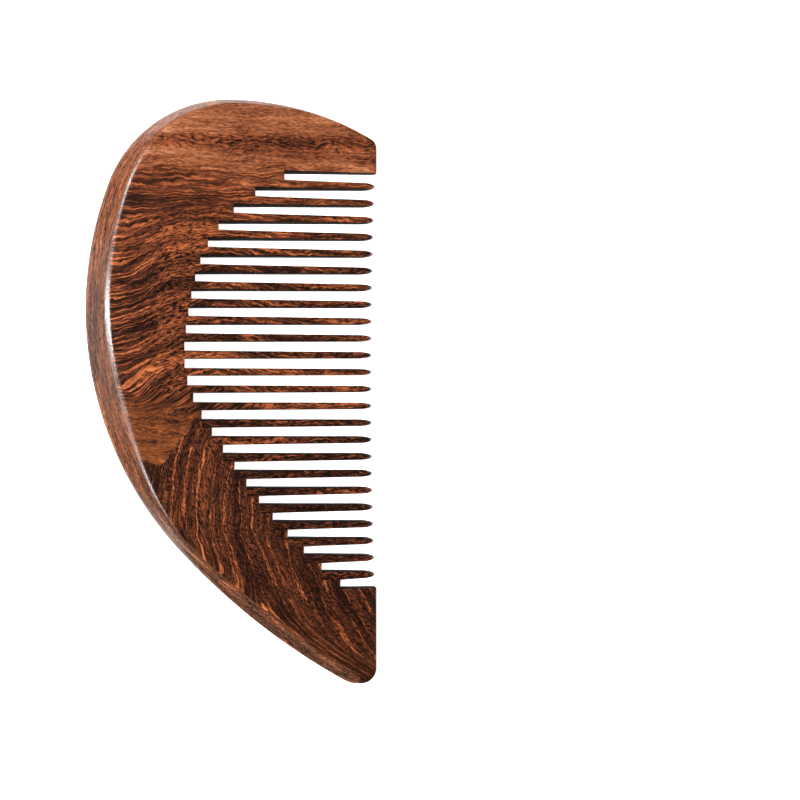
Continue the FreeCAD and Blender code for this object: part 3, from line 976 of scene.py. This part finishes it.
@dataclass(frozen=True)
class Signal:
    """Output of a node, with the arithmetic that lays further nodes."""

    bench: "NodeBench"
    socket: bpy.types.NodeSocket

    def __add__(self, other: "Signal | float") -> "Signal":
        """Sum of this and another value."""
        return self.bench.math("ADD", self, other)

    def __sub__(self, other: "Signal | float") -> "Signal":
        """This less another value."""
        return self.bench.math("SUBTRACT", self, other)

    def __rsub__(self, other: float) -> "Signal":
        """A number less this."""
        return self.bench.math("SUBTRACT", other, self)

    def __mul__(self, other: "Signal | float") -> "Signal":
        """Product of this and another value."""
        return self.bench.math("MULTIPLY", self, other)

    def __truediv__(self, other: "Signal | float") -> "Signal":
        """This divided by another value."""
        return self.bench.math("DIVIDE", self, other)


class NodeBench:
    """Short ways to lay the nodes of one material."""

    def __init__(self, name: str) -> None:
        """Start an empty material.

        Args:
            name: Name of the material.
        """
        self.material = bpy.data.materials.new(name)
        self.material.use_nodes = True
        self.tree = self.material.node_tree
        self.tree.nodes.clear()

    def feed(self, socket: bpy.types.NodeSocket, value: object) -> None:
        """Link a socket to a signal, or set it to a plain value."""
        if isinstance(value, Signal):
            self.tree.links.new(value.socket, socket)
        else:
            socket.default_value = value

    def node(
        self, kind: str, values: dict[int | str, object] | None = None, **settings: object
    ) -> bpy.types.Node:
        """Add a node, set its properties and feed its inputs.

        Args:
            kind: The node's type name without its "ShaderNode" start.
            values: Values or signals by the name or the place of the input.
            settings: Properties by name.

        Returns:
            The node.
        """
        made = self.tree.nodes.new(f"ShaderNode{kind}")
        for name, setting in settings.items():
            setattr(made, name, setting)
        for name, value in (values or {}).items():
            self.feed(made.inputs[name], value)
        return made

    def attribute(self, name: str) -> Signal:
        """Vector that the mesh carries under a name."""
        return Signal(self, self.node("Attribute", attribute_name=name).outputs["Vector"])

    def split(self, vector: Signal) -> tuple[Signal, ...]:
        """X, Y and Z of a vector."""
        return tuple(Signal(self, part) for part in self.node("SeparateXYZ", {0: vector}).outputs)

    def join(self, *parts: Signal) -> Signal:
        """Vector made of three values."""
        return Signal(self, self.node("CombineXYZ", dict(enumerate(parts))).outputs[0])

    def math(self, operation: str, *values: Signal | float) -> Signal:
        """Result of an operation on values."""
        return Signal(self, self.node("Math", dict(enumerate(values)), operation=operation).outputs[0])

    def span(self, value: Signal, low: float, high: float, start: float = 0.0, end: float = 1.0) -> Signal:
        """Map a span of values to another with level ends, held at both.

        Args:
            value: The value.
            low: Value that gives the start.
            high: Value that gives the end.
            start: Result at the low end.
            end: Result at the high end.

        Returns:
            The result.
        """
        values = {"Value": value, "From Min": low, "From Max": high, "To Min": start, "To Max": end}
        made = self.node("MapRange", values, interpolation_type="SMOOTHSTEP")
        return Signal(self, made.outputs["Result"])

    def noise(self, vector: Signal, scale: Triple, detail: float, roughness: float) -> Signal:
        """Cloudy noise, stretched by a scale for each axis.

        Args:
            vector: Where to read it, in millimetres.
            scale: Features per millimetre along each axis.
            detail: Number of finer layers.
            roughness: Strength of the finer layers.

        Returns:
            The noise, about 0.5 on average.
        """
        made = self.node("VectorMath", {0: vector, 1: scale}, operation="MULTIPLY")
        place = Signal(self, made.outputs[0])
        values = {"Vector": place, "Scale": 1.0, "Detail": detail, "Roughness": roughness}
        return Signal(self, self.node("TexNoise", values).outputs["Fac"])

    def mix(self, share: Signal, first: object, second: object, kind: str = "RGBA") -> Signal:
        """Mix two colours, vectors or plain values.

        Args:
            share: Share of the second.
            first: First signal or value.
            second: Second signal or value.
            kind: RGBA, VECTOR or FLOAT.

        Returns:
            The mixture.
        """
        made = self.node("Mix", data_type=kind)
        sockets = [socket for socket in made.inputs if socket.enabled]
        for socket, value in zip(sockets, (share, first, second)):
            self.feed(socket, value)
        return Signal(self, next(socket for socket in made.outputs if socket.enabled))

    def ramp(self, value: Signal, stops: tuple[tuple[float, Triple], ...]) -> Signal:
        """Colour that runs through stops.

        Args:
            value: Where on the run to read.
            stops: Places and colours.

        Returns:
            The colour.
        """
        made = self.node("ValToRGB", {0: value})
        elements = made.color_ramp.elements
        while len(elements) < len(stops):
            elements.new(0.5)
        for element, (place, colour) in zip(elements, stops):
            element.position = place
            element.color = (*colour, 1.0)
        return Signal(self, made.outputs["Color"])

    def finish(self, values: dict[str, object]) -> bpy.types.Material:
        """Lay the shader and the output that end the material.

        Args:
            values: Values or signals by the name of the shader's input.

        Returns:
            The material.
        """
        shader = Signal(self, self.node("BsdfPrincipled", values).outputs[0])
        self.node("OutputMaterial", {"Surface": shader})
        return self.material


@dataclass(frozen=True)
class FiguredWood:
    """Dark hardwood with orange figure, oiled and polished."""

    name: str
    line_spacing: float = 0.97
    fleck_lean: float = -0.35
    roughness: float = 0.19
    gloss: float = 0.42
    coat: float = 0.1
    coat_roughness: float = 0.14
    relief: float = 0.14
    relief_depth: float = 0.00006

    WOBBLE = (0.5, 0.5, 0.5)
    SWAY = (0.10, 0.22, 0.2)
    RIPPLE = (0.55, 0.55, 0.5)
    BANDS = (0.03, 0.40, 0.2)
    STREAKS = (0.19, 3.1, 1.2)
    FLECKS = (1.0, 4.1, 2.0)
    PORES = (1.3, 6.0, 4.0)

    DARK = (
        (0.0, linear(20, 8, 4)),
        (0.25, linear(44, 20, 11)),
        (0.5, linear(90, 46, 27)),
        (0.74, linear(152, 80, 45)),
        (1.0, linear(194, 112, 66)),
    )
    PALE = (
        (0.0, linear(78, 38, 22)),
        (0.3, linear(120, 67, 42)),
        (0.62, linear(154, 92, 60)),
        (1.0, linear(186, 128, 92)),
    )
    GOLD = (
        (0.0, linear(40, 20, 10)),
        (0.35, linear(96, 50, 25)),
        (0.72, linear(136, 75, 38)),
        (1.0, linear(168, 102, 56)),
    )
    # Grey of a painted sheen: the lamps' reflection on the bevel, put into its colour.
    BEVEL_SHEEN = (*linear(160, 128, 106), 1.0)
    # Near-black of the painted shade at the slot edges, guard ends and tooth sides.
    PAINTED_SHADE = (*linear(16, 9, 7), 1.0)

    def make(self) -> bpy.types.Material:
        """Lay the nodes of the wood.

        Returns:
            The material.
        """
        bench = NodeBench(self.name)
        colour, pores, streaks = self._figure(bench)
        relief = {"Strength": self.relief, "Distance": self.relief_depth, "Height": pores + streaks}
        return bench.finish(
            {
                "Base Color": colour,
                "Roughness": bench.span(pores, 0.3, 0.7, self.roughness + 0.06, self.roughness - 0.03),
                "Specular IOR Level": self.gloss,
                "Coat Weight": self.coat,
                "Coat Roughness": self.coat_roughness,
                "Normal": Signal(bench, bench.node("Bump", relief).outputs[0]),
            }
        )

    def _figure(self, bench: NodeBench) -> tuple[Signal, Signal, Signal]:
        """Lay the figure: lines, flecks and bands along the grain, coloured zone by zone, with painted sheen
        on the bevel and painted shade at the slot edges and tooth sides.

        Args:
            bench: Where the nodes go.

        Returns:
            The colour, the pores and the streaks.
        """
        upper, rim = bench.attribute("grain_upper"), bench.attribute("rim")
        seam, dark, _ = bench.split(bench.attribute("seam_and_shade"))
        pale, flecked, gold = bench.split(bench.attribute("zones"))
        below = bench.span(bench.noise(upper, self.WOBBLE, 2.0, 0.6) * 0.7 + seam, 0.38, 0.30)
        bevel = bench.span(bench.split(rim)[2], -0.15, 0.1)
        grain = bench.mix(below, upper, bench.attribute("grain_lower"), "VECTOR")
        grain = bench.mix(bevel, grain, rim, "VECTOR")

        along, across, through = bench.split(grain)
        sway = bench.noise(grain, self.SWAY, 2.0, 0.5) - 0.5
        ripple = bench.noise(grain, self.RIPPLE, 2.0, 0.55) - 0.5
        moved = sway * 3.2 + across + ripple * 0.8
        figure = bench.join(along, moved, through)
        leaning = bench.join(along, below * along * self.fleck_lean + moved, through)
        bands = bench.noise(figure, self.BANDS, 2.0, 0.5)
        streaks = bench.noise(figure, self.STREAKS, 3.0, 0.62)
        flecks = bench.noise(leaning, self.FLECKS, 2.0, 0.6)
        pores = bench.noise(figure, self.PORES, 1.0, 0.5)

        phase = (moved / self.line_spacing + bands * 5.0) * math.pi
        rings = bench.span(bench.math("SINE", phase * 2.0) + streaks * 2.0, 0.9, 2.0)
        lined = rings * 0.5 + bench.span(streaks, 0.36, 0.66, 0.0, 0.6)
        net = bench.span(bench.math("ABSOLUTE", flecks - 0.5), 0.07, 0.0)
        dotted = net * 0.3 + bench.span(flecks, 0.42, 0.62, 0.0, 0.8)
        sparse = bench.span(bench.math("SINE", phase * 0.6) + streaks * 0.5, 1.14, 1.28, 0.0, 0.5)
        tone = bench.mix(flecked, lined, dotted, "FLOAT") + bands * 1.1 + pores * 0.5 + pale * 0.42
        # The figure is calmer in the pale wood and below the seam; on the bevel the calming is painted sheen,
        # standing in for the reflection that washes the figure out.
        calm = bench.math("MAXIMUM", bench.math("MAXIMUM", pale * 0.75, bevel * 0.4), below * 0.32)
        value = (tone + sparse * below - 1.35) * (1.0 - calm) + 0.42
        soft = (streaks + pores + flecks) * 1.1 + bands * 1.6 - 2.03

        pale_share = bench.span((bands + streaks) * 0.5 + pale, 0.95, 1.5)
        gold_share = bench.span((streaks + flecks) * 0.8 + gold, 1.15, 1.65) * (1.0 - bevel * 0.8)
        # The bevel is painted paler with the pale wood: partly painted light, as the bevel faces the lamps,
        # partly the lighter wood of the crown.
        bevel_pale_and_lit = bevel * bench.span(streaks, 0.3, 0.7, 0.0, 0.5)
        # Painted sheen on the bevel, broken up by the pores.
        painted_sheen = bevel * bench.span(pores, 0.35, 0.7, 0.0, 0.16)
        pale_wood = bench.ramp(soft, self.PALE)
        colour = bench.mix(pale_share, bench.ramp(value, self.DARK), pale_wood)
        colour = bench.mix(gold_share, colour, bench.ramp(soft, self.GOLD))
        colour = bench.mix(bevel_pale_and_lit, colour, pale_wood)
        colour = bench.mix(painted_sheen, colour, self.BEVEL_SHEEN)
        # Painted shade: near-black laid over the slot edges, guard ends and tooth sides.
        colour = bench.mix(dark * 0.93, colour, self.PAINTED_SHADE)
        return colour, pores, streaks


@dataclass(frozen=True)
class ShadedSawnWall:
    """Dull wood of the sawn slot walls and tooth sides, painted near-black as shade."""

    name: str = "shaded_sawn_wall"
    roughness: float = 0.85
    gloss: float = 0.05

    MARKS = (3.0, 3.0, 0.4)
    # Near-black of painted shade, from the darker to the lighter saw marks.
    SHADE_STOPS = ((0.3, linear(17, 10, 8)), (0.7, linear(44, 25, 18)))

    def make(self) -> bpy.types.Material:
        """Lay the nodes of the sawn walls, painted near-black as shade, with faint saw marks up and down.

        Returns:
            The material.
        """
        bench = NodeBench(self.name)
        marks = bench.noise(bench.attribute("grain_upper"), self.MARKS, 2.0, 0.6)
        colour = bench.ramp(marks, self.SHADE_STOPS)
        return bench.finish(
            {"Base Color": colour, "Roughness": self.roughness, "Specular IOR Level": self.gloss}
        )


@dataclass(frozen=True)
class Panel:
    """Rectangular light that faces the comb: its place and size in metres, its power in watts."""

    name: str
    place: Triple
    size: tuple[float, float]
    power: float

    def make(self) -> None:
        """Add the light to the scene."""
        data = bpy.data.lights.new(self.name, "AREA")
        data.shape = "RECTANGLE"
        data.size, data.size_y = self.size
        data.energy = self.power
        light = bpy.data.objects.new(self.name, data)
        light.location = self.place
        light.rotation_euler = (-Vector(self.place)).to_track_quat("-Z", "Y").to_euler()
        bpy.context.scene.collection.objects.link(light)


@dataclass(frozen=True)
class Studio:
    """Pale floor, soft lights and the camera, in metres."""

    floor_half: float = 12.0
    floor_height: float = -0.00005
    floor_colour: tuple[float, ...] = (0.9, 0.885, 0.88, 1.0)
    floor_roughness: float = 0.9
    floor_glow: tuple[float, ...] = (1.0, 0.975, 0.965, 1.0)
    floor_glow_strength: float = 1.0
    sky_colour: tuple[float, ...] = (1.0, 0.99, 0.985, 1.0)
    sky_strength: float = 0.03
    sensor: float = 36.0
    lens: float = 69.2
    shift: tuple[float, float] = (0.039, -0.0235)
    clip: tuple[float, float] = (0.01, 40.0)
    camera_place: Triple = (-0.0002, 0.0023, 0.2935)
    camera_turn: float = 5.1

    PANELS = (
        Panel("left_strip", (-0.30, 0.03, 0.55), (0.045, 0.40), 4.9),
        Panel("crown_strip", (-0.24, 0.25, 0.55), (0.05, 0.20), 1.4),
        Panel("flank_strip", (-0.25, -0.22, 0.55), (0.05, 0.20), 1.4),
        Panel("left_wall", (-0.75, 0.0, 0.30), (0.5, 1.2), 2.0),
        Panel("right_wall", (0.75, 0.1, 0.55), (0.5, 1.0), 0.2),
        Panel("crown_side", (0.0, 0.85, 0.55), (1.0, 0.5), 0.2),
        Panel("toe_side", (0.0, -0.85, 0.55), (1.0, 0.5), 0.2),
    )

    def make(self) -> None:
        """Set up floor, lights and camera."""
        bpy.context.scene.view_settings.view_transform = "Standard"
        self._floor()
        self._lights()
        self._camera()

    def _floor(self) -> None:
        """Plain pale floor a hair under the comb."""
        mesh = bpy.data.meshes.new("floor")
        half, height = self.floor_half, self.floor_height
        corners = [(x * half, y * half, height) for x, y in ((-1, -1), (1, -1), (1, 1), (-1, 1))]
        mesh.from_pydata(corners, [], [(0, 1, 2, 3)])
        floor = bpy.data.objects.new("floor", mesh)
        bpy.context.scene.collection.objects.link(floor)
        look = {
            "Base Color": self.floor_colour,
            "Roughness": self.floor_roughness,
            "Emission Color": self.floor_glow,
            "Emission Strength": self.floor_glow_strength,
        }
        floor.data.materials.append(NodeBench("pale_floor").finish(look))

    def _lights(self) -> None:
        """Faint white surroundings and the soft panels."""
        world = bpy.data.worlds.new("studio")
        bpy.context.scene.world = world
        world.use_nodes = True
        sky = world.node_tree.nodes["Background"].inputs
        sky["Color"].default_value = self.sky_colour
        sky["Strength"].default_value = self.sky_strength
        for panel in self.PANELS:
            panel.make()

    def _camera(self) -> None:
        """Camera straight over the comb, turned a little so that the comb stands left of the middle."""
        data = bpy.data.cameras.new("camera")
        data.sensor_width = self.sensor
        data.lens = self.lens
        data.shift_x, data.shift_y = self.shift
        data.clip_start, data.clip_end = self.clip
        camera = bpy.data.objects.new("camera", data)
        camera.location = self.camera_place
        camera.rotation_euler = (0.0, -math.radians(self.camera_turn), 0.0)
        bpy.context.scene.collection.objects.link(camera)
        bpy.context.scene.camera = camera


def hand_over(
    piece: bpy.types.Object, node: str, finishes: tuple[bpy.types.Material, ...]
) -> None:
    """Dress a piece, let it stand for its CAD node and report it.

    Args:
        piece: The finished piece.
        node: CAD node that it replaces.
        finishes: Its polished and its sawn wood.
    """
    for finish in finishes:
        piece.data.materials.append(finish)
    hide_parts(node)
    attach(piece, "root")
    LOG.info("%s stands for %s with %d faces", piece.name, node, len(piece.data.polygons))


def main() -> None:
    """Build the comb and the studio."""
    logging.basicConfig(level=logging.INFO, format="%(name)s: %(message)s")
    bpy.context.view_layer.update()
    sizes = CombSizes()
    plane = RestingPlane.under(sizes)
    grain = GrainMap()
    outline = Outline(sizes)
    stairs = SlotStairs(sizes, plane)
    back = SpineBoard(sizes, plane, grain, outline, stairs)
    sawn = ShadedSawnWall().make()
    hand_over(back.make(), "comb_back", (FiguredWood("back_wood").make(), sawn))
    row = ToothRow(sizes, plane, grain, stairs)
    tooth_wood = (FiguredWood("tooth_wood").make(), sawn)
    for tooth in range(sizes.tooth_count):
        hand_over(row.make(tooth), f"tooth_{tooth + 1:02d}", tooth_wood)
    Studio().make()


if __name__ == "__main__":
    main()
